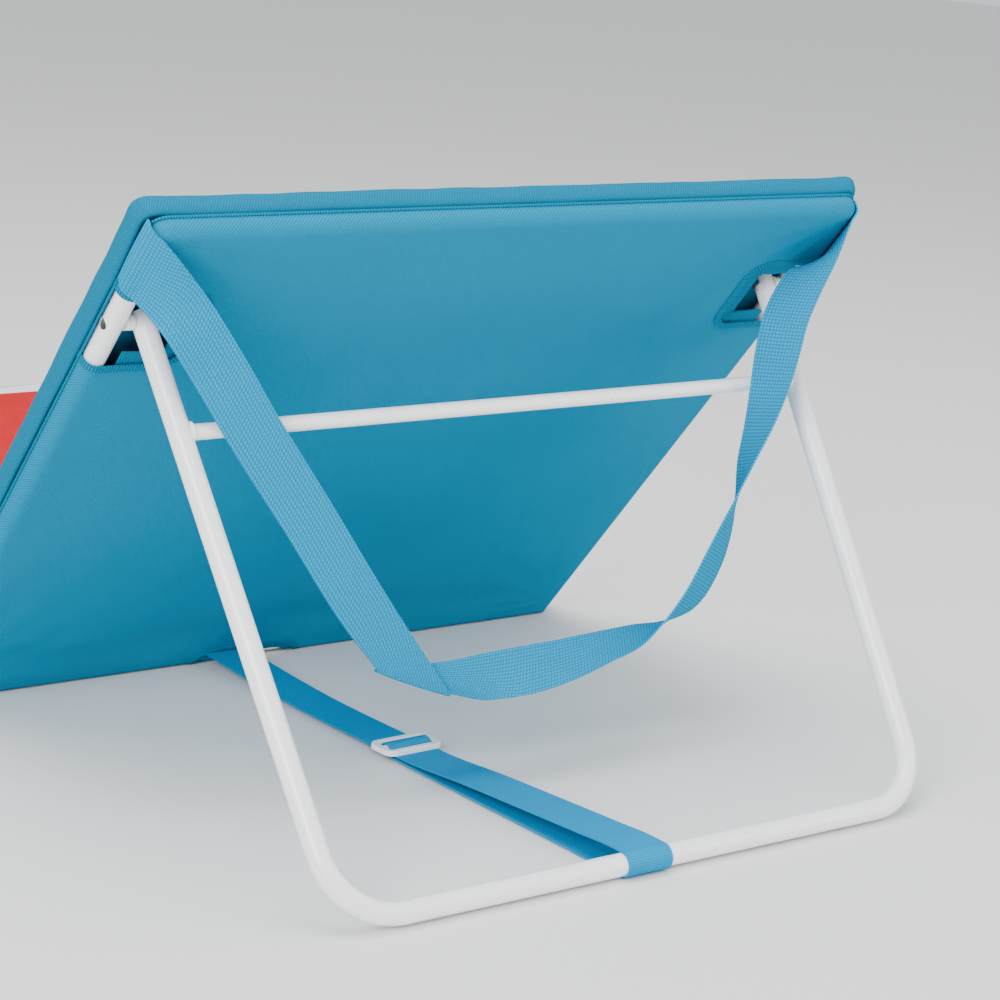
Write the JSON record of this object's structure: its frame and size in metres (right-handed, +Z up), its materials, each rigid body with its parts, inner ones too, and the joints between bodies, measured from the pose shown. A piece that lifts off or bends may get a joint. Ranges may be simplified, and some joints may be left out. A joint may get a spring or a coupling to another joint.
{
  "type": "folding beach lounger",
  "caption": "Ground-level folding beach lounger: padded mat in panels, reclining backrest on a tube frame with a folding stand, webbing strap with slider and a carry strap.",
  "frame": {"origin": "bottom centre of the part as it stands on the ground, backrest up", "axes": "+Z up, X across the lounger, the sitter faces -Y, the backrest and its stand are at +Y"},
  "size_m": [0.618, 1.5251, 0.4446],
  "materials": {
    "white_steel": "gloss powder coat",
    "white_plastic": "satin",
    "rivet_steel": "zinc plated",
    "printed_cloth": "printed weave",
    "plain_cloth": "plain weave",
    "foam": "open-cell foam",
    "edge_tape": "ribbed tape",
    "rear_cloth": "fine twill",
    "hem_tape": "overlocked tape",
    "carry_webbing": "basket-weave webbing",
    "stay_webbing": "plain webbing"
  },
  "bodies": {
    "seat_panel": {"seat_back_cloth": "plain_cloth", "seat_foam": "foam", "seat_printed_cover": "printed_cloth", "seat_edge_binding": "edge_tape", "mat_fold_strip": "edge_tape", "backrest_hinge_strip": "edge_tape"},
    "foot_panel": {"foot_back_cloth": "plain_cloth", "foot_foam": "foam", "foot_printed_cover": "printed_cloth", "foot_edge_binding": "edge_tape"},
    "backrest": {"backrest_back_cloth": "plain_cloth", "backrest_foam": "foam", "backrest_printed_cover": "printed_cloth", "backrest_edge_binding": "edge_tape", "backrest_frame_tube": "white_steel", "backrest_bottom_bar": "white_steel", "frame_tube_plugs": "white_plastic", "backrest_rear_panel": "rear_cloth", "pivot_cutout_hems": "hem_tape", "bottom_cutout_hem": "hem_tape", "rear_seam_piping": "hem_tape", "bottom_bar_sleeves": "rear_cloth", "pivot_rivets": "rivet_steel", "pivot_spacers": "white_plastic", "carry_strap": "carry_webbing", "stay_bottom_bar_loop": "stay_webbing", "stay_single_ply": "stay_webbing"},
    "stand": {"stand_tube": "white_steel", "stand_cross_bar": "white_steel", "cross_bar_welds": "white_steel", "stand_leg_caps": "white_plastic", "stay_upper_ply": "stay_webbing", "stay_lower_ply": "stay_webbing", "stay_ground_bar_wrap": "stay_webbing"},
    "slider": {"strap_slider": "white_plastic"}
  },
  "joints": [
    {"name": "mat_fold", "type": "hinge", "parent": "seat_panel", "child": "foot_panel", "pos_m": [0, -0.34712, 0.0133], "axis": [-1, 0, 0], "range_deg": [0, 180], "deforming": ["mat_fold_strip"]},
    {"name": "backrest_hinge", "type": "hinge", "parent": "seat_panel", "child": "backrest", "pos_m": [0, 0.19438, 0.013], "axis": [1, 0, 0], "range_deg": [-46, 123], "deforming": ["backrest_hinge_strip"]},
    {"name": "stand_hinge", "type": "hinge", "parent": "backrest", "child": "stand", "pos_m": [0, 0.50818, 0.35166], "axis": [-1, 0, 0], "range_deg": [0, 70], "deforming": ["backrest_rear_panel", "pivot_cutout_hems", "carry_strap", "stay_single_ply", "stay_upper_ply", "stay_lower_ply"]},
    {"name": "slider_travel", "type": "slide", "parent": "backrest", "child": "slider", "axis": [-0.0479, 0.9989, 0], "range_m": [-0.12, 0.15]}
  ]
}
